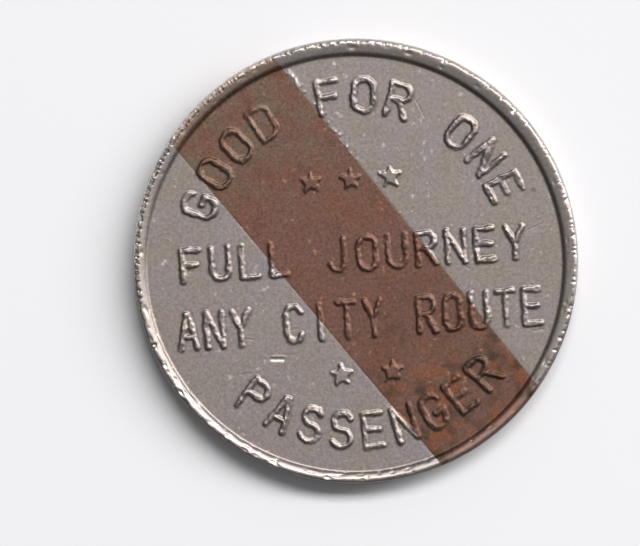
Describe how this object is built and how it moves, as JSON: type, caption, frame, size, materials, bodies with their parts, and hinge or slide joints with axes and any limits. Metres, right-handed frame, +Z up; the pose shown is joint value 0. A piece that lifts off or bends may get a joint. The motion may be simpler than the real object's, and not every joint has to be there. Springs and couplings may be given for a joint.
{
  "type": "transit token",
  "caption": "Small round bimetal fare token: a slanted bronze bar bonded between white-metal segments, with a raised rim, small stars and a plain numeral on the back.",
  "frame": {"origin": "centre of the plane that the reverse rim rests on", "axes": "+Z up out of the obverse; +X along the reading direction of the obverse, so +Y is towards its three stars"},
  "size_m": [0.0164, 0.0164, 0.0012],
  "materials": {
    "white_metal": "struck cupronickel (a white copper alloy), worn satin with grey-brown tarnish",
    "bronze": "struck bronze, worn satin with brown patina"
  },
  "bodies": {
    "root": {"left_white_metal_segment": "white_metal", "bronze_bar": "bronze", "right_white_metal_segment": "white_metal"}
  },
  "joints": []
}
